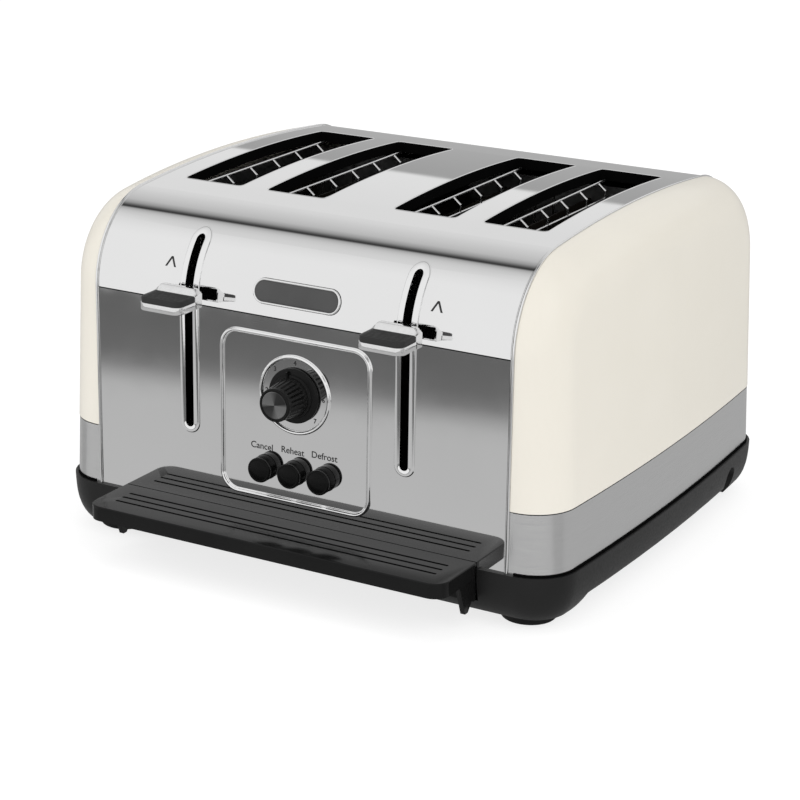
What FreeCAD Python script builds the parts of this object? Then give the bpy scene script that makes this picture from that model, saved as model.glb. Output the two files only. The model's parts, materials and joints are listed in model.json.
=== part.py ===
"""Four-slice pop-up toaster, modelled as separate pieces.

Millimetres. +X is to the right when facing the front, +Y runs from the front to the rear, +Z is up.
The origin is on the surface that the feet stand on, under the middle of the object's outline.
"""
import FreeCAD, Part
import math
import os

V = FreeCAD.Vector

# ---------------------------------------------------------------- driving dimensions
DEPTH = 281.0          # outside faces of the front and rear panels
LEDGE_REACH = 38.5     # crumb tray ledge, in front of the front panel
RIM_OUT = 1.9          # base rim beyond the metal shell
RIM_Z = 32.0           # top of the base rim, where the metal shell starts
BEND_Z = 148.3         # top of the flat front and rear panels
BEND_R = 48.8          # bend from the panels to the crown
CROWN_Z = 201.5        # highest point of the crown
SEAM_X = 130.2         # seam between the wrapped cover and the side panels
BULGE_X = 161.4        # widest point of the bowed side panels, at the rim
BOW_R = 1825.0         # plan radius of the side panels, at the rim
DRAFT = 0.043          # inward lean of the side panels, per millimetre of height
CORNER_R = 24.4        # rounding all along the side panels' outer edge
BAND_H = 34.8          # height of the satin steel band above the rim
SHEET = 0.8            # steel sheet of the panels and the cover
CAP_WALL = 1.0         # wall of the side panels
TRIM_W = 2.1           # bright edge trim at each seam
GAP = 0.3              # joint line between neighbouring panels

SLOT_XS = (-95.2, -40.6, 40.6, 95.2)
SLOT_W = 38.0
SLOT_L = 150.0
LEVER_X = 67.6         # lever slots, each side of the middle
LEVER_SLOT_W = 5.2
LEVER_SLOT_Z = (77.3, 183.2)
BEZEL_W = 12.5

FRAME_HALF = 47.4      # control frame, half its width
FRAME_Z = (45.0, 139.4)
DIAL_Z = 107.1
DIAL_RING_R = 22.3
BUTTON_XS = {"cancel": -18.6, "reheat": 0.0, "defrost": 18.6}
BUTTON_Z = 62.9
BUTTON_R = 7.0
BUTTON_OUT = 8.7       # button face in front of the panel

LEVER_DOWN = 70.0      # carriage travel from rest to latched
LEVER_UP = 23.0        # extra lift above rest
STEM_Z = (152.0, 158.0)
RACK_Z = 128.0         # where a slice rests, lever up
GUIDE_X = 11.0         # bread guides, each side of a slot's middle
GUIDE_PIVOT_Z = 52.0
GUIDE_WIRE_ZS = (114.0, 184.5)     # long wires across the guide's uprights
GUIDE_TOP_Z = 189.0
GUIDE_FLARE = (4.8, 4.0)           # run of the flared tips, outwards and up
CHAMBER_HALF_L = 77.2  # inner faces of the chamber's end plates
CHAMBER_X = 124.1      # outer faces of the heat shields
PLATE = 0.6            # sheet of the chamber
FLANGE_Z = (30.0, 187.0)

FOOT_R = 16.8
FOOT_X = 130.6
FOOT_IN = 25.7         # foot centres from the front and rear faces
FLOOR_Z = 6.0          # underside of the base

# ---------------------------------------------------------------- derived places
TOTAL_DEPTH = LEDGE_REACH + DEPTH + RIM_OUT
FRONT_Y = LEDGE_REACH - TOTAL_DEPTH / 2
REAR_Y = FRONT_Y + DEPTH
MID_Y = (FRONT_Y + REAR_Y) / 2
BEND_SPAN = DEPTH / 2 - BEND_R
BEND_RISE = CROWN_Z - BEND_Z
CROWN_R = (BEND_SPAN ** 2 + BEND_RISE ** 2 - BEND_R ** 2) / (2 * (BEND_RISE - BEND_R))
CROWN_CENTRE_Z = CROWN_Z - CROWN_R
TANGENT_DEG = math.degrees(math.atan2(BEND_Z - CROWN_CENTRE_Z, -BEND_SPAN))
COVER_X = SEAM_X - TRIM_W - 0.2
CHAMBER_FRONT_Y = MID_Y - CHAMBER_HALF_L - PLATE
ROD_Y = FRONT_Y + 34.0
BAR_Y = FRONT_Y + 40.0


# ---------------------------------------------------------------- basic shapes
def box(x0, x1, y0, y1, z0, z1):
    return Part.makeBox(x1 - x0, y1 - y0, z1 - z0, V(x0, y0, z0))


def rod(start, end, radius):
    run = end.sub(start)
    return Part.makeCylinder(radius, run.Length, start, run)


def fuse(shapes):
    return shapes[0].multiFuse(shapes[1:]).removeSplitter()


def cut(shape, tools):
    for tool in tools:
        shape = shape.cut(tool)
    return shape


def mirrored(shape):
    return shape.mirror(V(0, 0, 0), V(1, 0, 0))


def prism(points, direction):
    """Straight-sided solid over a closed list of points."""
    wire = Part.makePolygon(points + points[:1])
    return Part.Face(wire).extrude(direction)


def round_rect_y(x0, x1, z0, z1, radius, y0, y1):
    """Rounded rectangle seen from the front, extruded along Y."""
    block = box(x0, x1, y0, y1, z0, z1)
    edges = [e for e in block.Edges if along(e, 1)]
    return block.makeFillet(radius, edges)


def round_rect_z(x0, x1, y0, y1, radius, z0, z1):
    """Rounded rectangle seen from above, extruded along Z."""
    block = box(x0, x1, y0, y1, z0, z1)
    edges = [e for e in block.Edges if along(e, 2)]
    return block.makeFillet(radius, edges)


def along(edge, axis):
    """True for a straight edge that runs along the given axis, 0 to 2."""
    run = edge.Vertexes[-1].Point.sub(edge.Vertexes[0].Point)
    return run.Length > 0 and abs(abs(run[axis]) - run.Length) < 1e-6


# ---------------------------------------------------------------- outlines of the body
def yz_arc(centre_y, centre_z, radius, start_deg, end_deg):
    def at(degrees):
        angle = math.radians(degrees)
        return V(0, centre_y + radius * math.cos(angle), centre_z + radius * math.sin(angle))

    middle = (start_deg + end_deg) / 2
    return Part.Arc(at(start_deg), at(middle), at(end_deg)).toShape()


def hoop(inset, bottom, x0, x1):
    """The body's side outline, set in from the outer skin, extruded from x0 to x1."""
    front = FRONT_Y + inset
    rear = REAR_Y - inset
    bend = BEND_R - inset
    edges = [
        Part.makeLine(V(0, front, bottom), V(0, front, BEND_Z)),
        yz_arc(FRONT_Y + BEND_R, BEND_Z, bend, 180, TANGENT_DEG),
        yz_arc(MID_Y, CROWN_CENTRE_Z, CROWN_R - inset, TANGENT_DEG, 180 - TANGENT_DEG),
        yz_arc(REAR_Y - BEND_R, BEND_Z, bend, 180 - TANGENT_DEG, 0),
        Part.makeLine(V(0, rear, BEND_Z), V(0, rear, bottom)),
        Part.makeLine(V(0, rear, bottom), V(0, front, bottom)),
    ]
    face = Part.Face(Part.Wire(edges))
    face.translate(V(x0, 0, 0))
    return face.extrude(V(x1 - x0, 0, 0))


def skin(outset, inset, bottom, x0, x1):
    """The hoop's skin from outset outside the surface to inset inside it."""
    return hoop(-outset, bottom, x0, x1).cut(hoop(inset, bottom - 1, x0 - 1, x1 + 1))


FILLET_ROOM = 14.0     # how far inside the seam the side panels' corner rounding may start


def cap_block(inset, seam, bottom):
    """One pillow-shaped side of the body, right hand, as a filled block."""
    slab = hoop(inset, bottom, SEAM_X - FILLET_ROOM, BULGE_X + 20)
    foot_z = RIM_Z - 20
    head_z = CROWN_Z + 20

    def bow_radius(z):
        return BOW_R - inset - DRAFT * (z - RIM_Z)

    centre = V(BULGE_X - BOW_R, MID_Y, foot_z)
    bow = Part.makeCone(bow_radius(foot_z), bow_radius(head_z), head_z - foot_z, centre)
    block = slab.common(bow)

    def on_bow(point):
        return abs(math.hypot(point.x - centre.x, point.y - MID_Y) - bow_radius(point.z)) < 1e-3

    edges = []
    for edge in block.Edges:
        points = edge.discretize(3)
        level = all(abs(p.z - bottom) < 1e-3 for p in points)
        if not level and all(on_bow(p) for p in points):
            edges.append(edge)
    rounded = block.makeFillet(CORNER_R - inset, edges)
    return rounded.common(box(seam, BULGE_X + 20, FRONT_Y - 5, REAR_Y + 5, 0, CROWN_Z + 5))


def plan_wire(offset, z):
    """The body's outline seen from above, offset outwards, as a closed wire at height z."""
    bow_x = BULGE_X - BOW_R
    corner_y = DEPTH / 2 - CORNER_R
    corner_x = bow_x + math.sqrt((BOW_R - CORNER_R) ** 2 - corner_y ** 2)
    turn = math.atan2(corner_y, corner_x - bow_x)
    corner = CORNER_R + offset
    bow = BOW_R + offset

    def point(centre_x, centre_y, radius, angle, side, end):
        x = centre_x + radius * math.cos(angle)
        y = centre_y + radius * math.sin(angle)
        return V(side * x, MID_Y + end * y, z)

    def corner_point(angle, side, end):
        return point(corner_x, corner_y, corner, angle, side, end)

    half_turn = math.pi / 2
    edges = []
    for side, end in ((1, 1), (-1, 1), (-1, -1), (1, -1)):
        first = corner_point(turn, side, end)
        middle = corner_point((turn + half_turn) / 2, side, end)
        last = corner_point(half_turn, side, end)
        edges.append(Part.Arc(first, middle, last).toShape())
    for end in (1, -1):
        edges.append(Part.makeLine(corner_point(half_turn, 1, end), corner_point(half_turn, -1, end)))
    for side in (1, -1):
        first = corner_point(turn, side, -1)
        middle = point(bow_x, 0, bow, 0, side, 1)
        last = corner_point(turn, side, 1)
        edges.append(Part.Arc(first, middle, last).toShape())
    return Part.Wire(Part.__sortEdges__(edges))


# ---------------------------------------------------------------- outer shell
def lever_slot_cut(half_width, grow):
    """Round-ended cutter for a lever slot, right hand."""
    low, high = LEVER_SLOT_Z
    return round_rect_y(LEVER_X - half_width, LEVER_X + half_width, low - grow, high + grow,
                        half_width - 0.01, FRONT_Y - 10, FRONT_Y + 40)


def panel_slot_cuts():
    right = lever_slot_cut(BEZEL_W / 2 - 2.0, 1.2)
    return [right, mirrored(right)]


def front_panel():
    sheet = box(-COVER_X, COVER_X, FRONT_Y, FRONT_Y + SHEET, RIM_Z, BEND_Z - GAP)
    start = V(0, FRONT_Y - 1, DIAL_Z)
    holes = [Part.makeCylinder(4.0, 4, start, V(0, 1, 0))]
    for x in BUTTON_XS.values():
        start = V(x, FRONT_Y - 1, BUTTON_Z)
        holes.append(Part.makeCylinder(BUTTON_R + 0.15, 4, start, V(0, 1, 0)))
    return cut(sheet, holes + panel_slot_cuts())


def rear_panel():
    sheet = box(-COVER_X, COVER_X, REAR_Y - SHEET, REAR_Y, RIM_Z, BEND_Z - GAP)
    vents = []
    for row in range(5):
        for column in range(9):
            x = (column - 4) * 16.0
            z = 56.0 + row * 7.0
            vents.append(round_rect_y(x - 5.5, x + 5.5, z, z + 2.4, 1.15, REAR_Y - 3, REAR_Y + 2))
    return cut(sheet, vents)


def slot_prism(x, grow, z0, z1):
    half_w = SLOT_W / 2 + grow
    half_l = SLOT_L / 2 + grow
    return round_rect_z(x - half_w, x + half_w, MID_Y - half_l, MID_Y + half_l, 3.0 + grow, z0, z1)


def top_cover():
    """Crown and both bends, with turned-down flanges round the bread slots."""
    arch = skin(0, SHEET, RIM_Z, -COVER_X, COVER_X)
    arch = arch.common(box(-200, 200, FRONT_Y - 5, REAR_Y + 5, BEND_Z, CROWN_Z + 5))
    depth = 6.0
    flange_zone = hoop(0, 150, -COVER_X, COVER_X).cut(hoop(depth, 140, -COVER_X - 1, COVER_X + 1))
    pieces = [arch]
    for x in SLOT_XS:
        pieces.append(slot_prism(x, SHEET, 170, 210).common(flange_zone))
    whole = fuse(pieces)
    holes = [slot_prism(x, 0, 160, 215) for x in SLOT_XS]
    return cut(whole, holes + panel_slot_cuts())


def edge_trim():
    """Bright bead along the seam, right hand."""
    inner = SEAM_X - TRIM_W - 0.1
    outer = SEAM_X - 0.1
    return skin(0.7, 2.0, RIM_Z, inner, outer)


def side_shell(inset):
    outer = cap_block(inset, SEAM_X, RIM_Z)
    inner = cap_block(inset + CAP_WALL, SEAM_X - 2, RIM_Z - 2)
    return outer.cut(inner)


def side_panel():
    shell = side_shell(0)
    return shell.cut(box(0, 200, -200, 200, 0, RIM_Z + BAND_H))


def side_band():
    shell = side_shell(0.3)
    return shell.common(box(0, 200, -200, 200, RIM_Z, RIM_Z + BAND_H - 0.5))


def lever_bezel():
    """Pressed rim that follows the panel and the bend round a lever slot, right hand."""
    grow = (BEZEL_W - LEVER_SLOT_W) / 2
    rim = skin(0.8, 0, RIM_Z, 40, 100).common(lever_slot_cut(BEZEL_W / 2, grow))
    neck = skin(0.4, SHEET + 1.2, RIM_Z, 40, 100).common(lever_slot_cut(BEZEL_W / 2 - 2.05, 1.15))
    return fuse([rim, neck]).cut(lever_slot_cut(LEVER_SLOT_W / 2, 0))


def control_frame():
    low, high = FRAME_Z
    width = 2.6
    proud = FRONT_Y - 1.5
    half = FRAME_HALF
    outer = round_rect_y(-half, half, low, high, 11.2, proud, FRONT_Y)
    half -= width
    inner = round_rect_y(-half, half, low + width, high - width, 11.2 - width, proud - 1, FRONT_Y + 1)
    ring = outer.cut(inner)
    front_edges = [e for e in ring.Edges if all(abs(p.y - proud) < 1e-4 for p in e.discretize(3))]
    return ring.makeFillet(1.0, front_edges)


def dial_ring():
    axis = V(0, -1, 0)
    middle_r = DIAL_RING_R - 1.0
    bead = Part.makeTorus(middle_r, 1.0, V(0, FRONT_Y - 0.4, DIAL_Z), axis)
    return bead.common(box(-30, 30, FRONT_Y - 5, FRONT_Y, DIAL_Z - 30, DIAL_Z + 30))


BADGE_HALF_W = 27.0
BADGE_Z = (154.9, 168.0)


def badge_pill(inset, outset, depth):
    low, high = BADGE_Z
    radius = (high - low) / 2 - inset - 0.01
    pill = round_rect_y(-BADGE_HALF_W + inset, BADGE_HALF_W - inset, low + inset, high - inset,
                        radius, FRONT_Y - 5, FRONT_Y + 30)
    return skin(outset, depth, RIM_Z, -40, 40).common(pill)


def badge_rim():
    return badge_pill(0, 1.4, 0).cut(badge_pill(1.3, 3, 3))


def badge():
    return badge_pill(1.35, 0.9, 0)


# ---------------------------------------------------------------- base and feet
BASE_WALL = 2.5
BASE_SECTIONS = ((RIM_OUT, RIM_Z), (1.5, 24.0), (-0.9, 13.0), (-5.4, FLOOR_Z))
TRAY_HALF = 111.9
POST_X = (113.5, 123.0)
SCREW_SINK = 2.4       # depth of the screws' recesses
NOTCH_IN = (42.6, 56.0)            # finger notches in the side walls, from the rear face
NOTCH_TOP = 25.0
SIDE_IN = 16.0         # depth of the notches and arches, from the widest point of the sides
ARCH_Z = 13.5          # lower edge of the side walls, between the front feet and the notches
ARCH_IN = (31.5, 40.0)             # slanted front end of that raised edge, from the front face


def base_block(inset, lift):
    wires = [plan_wire(offset - inset, z + lift) for offset, z in BASE_SECTIONS]
    return Part.makeLoft(wires, True, False)


def base_posts():
    posts = []
    for side in (1, -1):
        low, high = sorted((side * POST_X[0], side * POST_X[1]))
        for end in (1, -1):
            y = MID_Y + end * (CHAMBER_HALF_L + PLATE / 2)
            posts.append(box(low, high, y - 5, y + 5, FLOOR_Z + 1, FLANGE_Z[0]))
    return posts


def screw_places():
    places = []
    for side in (1, -1):
        for end in (1, -1):
            y = MID_Y + end * (CHAMBER_HALF_L + PLATE / 2)
            places.append((side * sum(POST_X) / 2, y))
    return places


def side_notches():
    """Cutters for a round-topped notch low in each side wall, near the rear."""
    near, far = NOTCH_IN
    radius = (far - near) / 2
    wall = BULGE_X - SIDE_IN
    length = 30.0
    opening = box(wall, wall + length, REAR_Y - far, REAR_Y - near, 0, NOTCH_TOP - radius)
    crown = Part.makeCylinder(radius, length, V(wall, REAR_Y - (near + far) / 2, NOTCH_TOP - radius), V(1, 0, 0))
    right = fuse([opening, crown])
    return [right, mirrored(right)]


def side_arches():
    """Cutters that raise the lower edge of each side wall, from the front foot to the notch."""
    near, far = ARCH_IN
    rear = REAR_Y - sum(NOTCH_IN) / 2
    outline = (
        (FRONT_Y + near, 0), (FRONT_Y + near, FLOOR_Z), (FRONT_Y + far, ARCH_Z), (rear, ARCH_Z), (rear, 0),
    )
    points = [V(BULGE_X - SIDE_IN + BASE_WALL, y, z) for y, z in outline]
    right = prism(points, V(30, 0, 0))
    return [right, mirrored(right)]


def arch_linings(block):
    """Thick lower part of each side wall, which closes the base behind the raised edge."""
    front = FRONT_Y + ARCH_IN[0] - BASE_WALL
    rear = REAR_Y - sum(NOTCH_IN) / 2
    room = box(BULGE_X - SIDE_IN, BULGE_X + 5, front, rear, FLOOR_Z, ARCH_Z + BASE_WALL)
    right = block.common(room)
    return [right, mirrored(right)]


def base():
    outer = base_block(0, 0)
    inner = base_block(BASE_WALL, BASE_WALL)
    hull = outer.cut(inner)
    mouth = box(-TRAY_HALF - 0.8, TRAY_HALF + 0.8, FRONT_Y - 10, FRONT_Y + 6, 13.0, RIM_Z + 5)
    hull = hull.cut(mouth)
    ribs = []
    for x in (-95.0, -32.0, 32.0, 95.0):
        ribs.append(box(x - 1, x + 1, FRONT_Y + 12, REAR_Y - 30, FLOOR_Z + 1, 14.6))
    lintel = box(-TRAY_HALF - 3, TRAY_HALF + 3, FRONT_Y + 0.2, FRONT_Y + 4.0, 27.5, RIM_Z)
    hull = fuse([hull] + ribs + base_posts() + [lintel] + arch_linings(outer))
    holes = []
    for x, y in screw_places():
        holes.append(Part.makeCylinder(1.6, FLANGE_Z[0] - FLOOR_Z + 1, V(x, y, FLOOR_Z - 1)))
        holes.append(Part.makeCylinder(3.8, SCREW_SINK + 1, V(x, y, FLOOR_Z - 1)))
    gland_hole = Part.makeCylinder(GLAND_R, 20, V(GLAND_X, REAR_Y - 10, GLAND_Z), V(0, 1, 0))
    return cut(hull, side_notches() + side_arches() + holes + [gland_hole])


def base_screws():
    head_z = FLOOR_Z + 0.5
    seat_z = FLOOR_Z + SCREW_SINK
    screws = []
    for x, y in screw_places():
        shank = Part.makeCylinder(1.55, FLANGE_Z[0] - 2 - seat_z, V(x, y, seat_z))
        head = Part.makeCylinder(3.4, seat_z - head_z, V(x, y, head_z))
        across = box(x - 2, x + 2, y - 0.4, y + 0.4, head_z - 1, head_z + 0.8)
        along_y = box(x - 0.4, x + 0.4, y - 2, y + 2, head_z - 1, head_z + 0.8)
        screws.append(cut(fuse([shank, head]), [across, along_y]))
    return Part.makeCompound(screws)


def feet():
    """Four stepped round feet, set into the underside of the base."""
    outline = [
        V(0, 0, 0), V(FOOT_R - 2.5, 0, 0), V(FOOT_R - 1.7, 0, 0.8), V(FOOT_R - 1.2, 0, 3.2),
        V(FOOT_R - 0.3, 0, 3.6), V(FOOT_R, 0, FLOOR_Z), V(0, 0, FLOOR_Z),
    ]
    face = Part.Face(Part.makePolygon(outline + outline[:1]))
    foot = face.revolve(V(0, 0, 0), V(0, 0, 1), 360)
    group = []
    for x in (-FOOT_X, FOOT_X):
        for y in (FRONT_Y + FOOT_IN, REAR_Y - FOOT_IN):
            one = foot.copy()
            one.translate(V(x, y, 0))
            group.append(one)
    return Part.makeCompound(group)


GLAND_X = 96.0
GLAND_Z = 23.0
GLAND_R = 5.5


def cord_gland():
    """Grommet in the rear wall of the base, where the mains lead enters."""
    axis = V(0, 1, 0)
    body = Part.makeCylinder(GLAND_R - 0.02, 8.0, V(GLAND_X, REAR_Y - 6.4, GLAND_Z), axis)
    flange = Part.makeCylinder(GLAND_R + 1.3, 2.0, V(GLAND_X, REAR_Y - 6.4, GLAND_Z), axis)
    bore = Part.makeCylinder(3.5, 20, V(GLAND_X, REAR_Y - 10, GLAND_Z), axis)
    return fuse([body, flange]).cut(bore)


# ---------------------------------------------------------------- crumb tray
LEDGE_Z = 34.8
LEDGE_H = 8.4
LEDGE_BACK = FRONT_Y - 0.4
LEDGE_FRONT = FRONT_Y - LEDGE_REACH
LEDGE_WALL = 2.4
GROOVES_OUT = (12.0, 18.5, 25.0)   # grooves in the ledge, from the front panel
GROOVE_HALF = 101.5


def ledge_block(inset, z0, z1):
    """Ledge outline with rounded front corners."""
    half = TRAY_HALF - inset
    block = box(-half, half, LEDGE_FRONT + inset, LEDGE_BACK, z0, z1)
    edges = [e for e in block.Edges if along(e, 2) and e.Vertexes[0].Y < LEDGE_BACK - 1]
    return block.makeFillet(9.0 - inset, edges)


def tray_handle():
    """Ledge across the front: top with three grooves, skirt, closing wall and two fins."""
    top = ledge_block(0, LEDGE_Z - LEDGE_H, LEDGE_Z)
    rim = [e for e in top.Edges if all(abs(p.z - LEDGE_Z) < 1e-6 for p in e.discretize(3))]
    rim = [e for e in rim if min(p.y for p in e.discretize(3)) < LEDGE_BACK - 1]
    top = top.makeFillet(0.6, rim)
    top = top.cut(ledge_block(LEDGE_WALL, LEDGE_Z - LEDGE_H - 1, LEDGE_Z - LEDGE_WALL))
    wall = box(-TRAY_HALF, TRAY_HALF, LEDGE_BACK - LEDGE_WALL, LEDGE_BACK, 13.6, LEDGE_Z - 0.5)
    pieces = [top, wall]
    for x in (-109.3, 109.3):
        corners = ((-2.0, LEDGE_Z - 2), (-19.0, LEDGE_Z - 2), (-9.5, 8.4), (-6.5, 8.4), (-2.0, 14.0))
        points = [V(x - 1.4, FRONT_Y + y, z) for y, z in corners]
        pieces.append(prism(points, V(2.8, 0, 0)))
    grooves = []
    for out in GROOVES_OUT:
        y = FRONT_Y - out
        grooves.append(round_rect_z(-GROOVE_HALF, GROOVE_HALF, y - 0.9, y + 0.9, 0.85, LEDGE_Z - 0.9, LEDGE_Z + 1))
    return cut(fuse(pieces), grooves)


def crumb_tray():
    """Open steel pan behind the ledge."""
    half = TRAY_HALF - 1.5
    outer = box(-half, half, LEDGE_BACK, FRONT_Y + 246, 15.0, 25.0)
    inner = box(-half + PLATE, half - PLATE, LEDGE_BACK + PLATE, FRONT_Y + 246 - PLATE, 15.0 + PLATE, 30.0)
    return outer.cut(inner)


# ---------------------------------------------------------------- heating chamber
def rack_slots(y0, y1):
    low = RACK_Z - 10 - LEVER_DOWN - 4
    high = RACK_Z + LEVER_UP + 4
    return [round_rect_y(x - 3, x + 3, low, high, 2.0, y0, y1) for x in SLOT_XS]


def guide_places():
    """X of the eight bread guides with the side of the slot that each is on."""
    return [(x + side * GUIDE_X, side) for x in SLOT_XS for side in (-1, 1)]


def pivot_holes(y0, y1):
    return [rod(V(x, y0, GUIDE_PIVOT_Z), V(x, y1, GUIDE_PIVOT_Z), 1.05) for x, _ in guide_places()]


def chamber_front():
    """End plate with flanges bent forward that hold the guide rods."""
    y0 = CHAMBER_FRONT_Y
    y1 = y0 + PLATE
    plate = box(-CHAMBER_X, CHAMBER_X, y0, y1, FLANGE_Z[0], FLANGE_Z[1] + 1.2)
    low = box(-110, 110, FRONT_Y + 12, y0 + 0.1, FLANGE_Z[0], FLANGE_Z[0] + 1.2)
    high = box(-88, 88, FRONT_Y + 29, y0 + 0.1, FLANGE_Z[1], FLANGE_Z[1] + 1.2)
    whole = fuse([plate, low, high])
    rods = [Part.makeCylinder(2.5, 200, V(x, ROD_Y, 20)) for x in (-LEVER_X, LEVER_X)]
    return cut(whole, rack_slots(y0 - 5, y1 + 5) + pivot_holes(y0 - 1, y1 + 1) + rods)


def chamber_rear():
    y0 = MID_Y + CHAMBER_HALF_L
    y1 = y0 + PLATE
    plate = box(-CHAMBER_X, CHAMBER_X, y0, y1, FLANGE_Z[0], FLANGE_Z[1] + 1.2)
    return cut(plate, rack_slots(y0 - 5, y1 + 5) + pivot_holes(y0 - 1, y1 + 1))


def heat_shield():
    x0 = CHAMBER_X - PLATE
    sheet = box(x0, CHAMBER_X, MID_Y - CHAMBER_HALF_L, MID_Y + CHAMBER_HALF_L, 36.0, FLANGE_Z[1])
    louvres = []
    for column in range(6):
        y = MID_Y - 60 + column * 24.0
        louvres.append(box(x0 - 1, CHAMBER_X + 1, y - 1.5, y + 1.5, 60.0, 160.0))
    return cut(sheet, louvres)


HEATER_XS = (16.4, 67.9, 119.4)
BOARD = 0.8
BOARD_Z = (50.0, 180.0)


def heater_boards():
    """Three mica boards beside and between a pair of slots, right hand."""
    boards = []
    for x in HEATER_XS:
        y0 = MID_Y - CHAMBER_HALF_L
        y1 = MID_Y + CHAMBER_HALF_L
        boards.append(box(x - BOARD / 2, x + BOARD / 2, y0, y1, BOARD_Z[0], BOARD_Z[1]))
    return Part.makeCompound(boards)


def heater_wires():
    """Flat resistance wire across both faces of each board, right hand."""
    half_l = 70.0
    thick = 0.35
    pitch = 10.0
    strips = []
    for x in HEATER_XS:
        for level in range(12):
            z = BOARD_Z[0] + pitch * (level + 1)
            for x0 in (x - BOARD / 2 - thick, x + BOARD / 2):
                strips.append(box(x0, x0 + thick, MID_Y - half_l, MID_Y + half_l, z, z + 2.2))
    return Part.makeCompound(strips)


def bread_guide(x, side):
    """Wire guard that hangs on its lower wire and leans towards the slice."""
    wire = 0.8
    prong = 0.7
    foot_z = GUIDE_PIVOT_Z
    head_z = GUIDE_TOP_Z
    out, up = GUIDE_FLARE
    tip_x = side * out
    tip_z = head_z + up
    end = CHAMBER_HALF_L + PLATE + 0.8
    pieces = [rod(V(0, MID_Y - end, foot_z), V(0, MID_Y + end, foot_z), 1.0)]
    for wire_x, z in ((0, GUIDE_WIRE_ZS[0]), (0, GUIDE_WIRE_ZS[1]), (tip_x, tip_z)):
        pieces.append(rod(V(wire_x, MID_Y - 72, z), V(wire_x, MID_Y + 72, z), wire))
    for k in range(6):
        y = MID_Y + 25.0 * (k - 2.5)
        head = V(0, y, head_z)
        pieces += [rod(V(0, y, foot_z), head, prong), rod(head, V(tip_x, y, tip_z), prong)]
        pieces.append(Part.makeSphere(wire, head))
    guide = fuse(pieces)
    guide.translate(V(x, 0, 0))
    return guide


def bread_rack(x):
    """Toothed strip that carries a slice, on a rib that runs out through both end plates."""
    rib_half = 0.6
    thick = 1.2
    strip = box(x - 5, x + 5, MID_Y - 73, MID_Y + 73, RACK_Z - thick, RACK_Z)
    rib_end = MID_Y + CHAMBER_HALF_L + 7
    rib = box(x - rib_half, x + rib_half, BAR_Y + 1.5, rib_end, RACK_Z - 9, RACK_Z - thick)
    holes = [Part.makeCylinder(2.2, 6, V(x + side * 4.2, MID_Y + 14.0 * k, RACK_Z - 3))
             for k in range(-5, 6) for side in (-1, 1)]
    return fuse([strip.cut(Part.makeCompound(holes)), rib])


# ---------------------------------------------------------------- carriages
def guide_rods():
    rods = []
    for x in (-LEVER_X, LEVER_X):
        rods.append(Part.makeCylinder(2.5, FLANGE_Z[1] - FLANGE_Z[0] + 2, V(x, ROD_Y, FLANGE_Z[0])))
    return Part.makeCompound(rods)


BUSH_Z = (118.0, 158.0)


def carriage():
    """Bush on the guide rod, cross bar for two racks, lever clasp and armature, right hand."""
    x = LEVER_X
    bush = Part.makeCylinder(5.0, BUSH_Z[1] - BUSH_Z[0], V(x, ROD_Y, BUSH_Z[0]))
    bar = box(x - 33, x + 33, BAR_Y, BAR_Y + 1.5, 118.0, 134.0)
    web = box(x - 4, x + 4, ROD_Y + 1, BAR_Y + 1, 119.0, 133.0)
    clasp = box(x - 4, x + 4, FRONT_Y + 18, ROD_Y - 3, 148.0, BUSH_Z[1])
    armature = box(x - 24, x, ROD_Y - 7, BAR_Y + 1, 116.0, 118.0)
    lug = box(x, x + 15, ROD_Y - 2, ROD_Y + 2, 150.0, 153.0)
    whole = fuse([bush, bar, web, clasp, armature, lug])
    bore = Part.makeCylinder(2.55, 80, V(x, ROD_Y, 100))
    groove = box(x - 1.5, x + 1.5, FRONT_Y + 10, FRONT_Y + 25, STEM_Z[0], STEM_Z[1])
    return cut(whole, [bore, groove])


def carriage_spring():
    """Extension spring between the carriage's lug and the upper flange, right hand."""
    low = 153.0
    length = FLANGE_Z[1] - low
    turns = 12
    wire = 0.35
    radius = 3.6
    helix = Part.makeHelix((length - 2 * wire) / turns, length - 2 * wire, radius)
    profile = Part.Wire(Part.makeCircle(wire, V(radius, 0, 0), V(0, 1, 0)))
    coil = Part.Wire(helix).makePipeShell([profile], True, True)
    coil.translate(V(LEVER_X + 11, ROD_Y, low + wire))
    return coil


def latch_magnets():
    """Electromagnets that hold the carriages down."""
    top = 116.0 - LEVER_DOWN - 0.3
    floor = FLANGE_Z[0] + 1.2
    right = box(LEVER_X - 22, LEVER_X - 8, ROD_Y - 6, ROD_Y + 6, floor, top)
    coil = box(LEVER_X - 20.5, LEVER_X - 9.5, ROD_Y - 7.5, ROD_Y + 7.5, floor + 2, top - 2)
    right = fuse([right, coil])
    return Part.makeCompound([right, mirrored(right)])


LEVER_HALF_W = 13.5
LEVER_PLATE_Z = 149.4
LEVER_PAD_Z = (153.7, 156.9)
LEVER_BAR_Z = 160.0
LEVER_BAR_Y = (FRONT_Y - 14.0, FRONT_Y - 7.4)
LEVER_FRONT_Y = FRONT_Y - 29.5


def lever_slab(inset, y1, z0, z1):
    """Slab with rounded front corners in front of the lever's bar, right hand."""
    block = box(LEVER_X - LEVER_HALF_W + inset, LEVER_X + LEVER_HALF_W - inset,
                LEVER_FRONT_Y + inset, y1, z0, z1)
    edges = [e for e in block.Edges if along(e, 2) and e.Vertexes[0].Y < y1 - 1]
    return block.makeFillet(5.0 - inset, edges)


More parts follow.
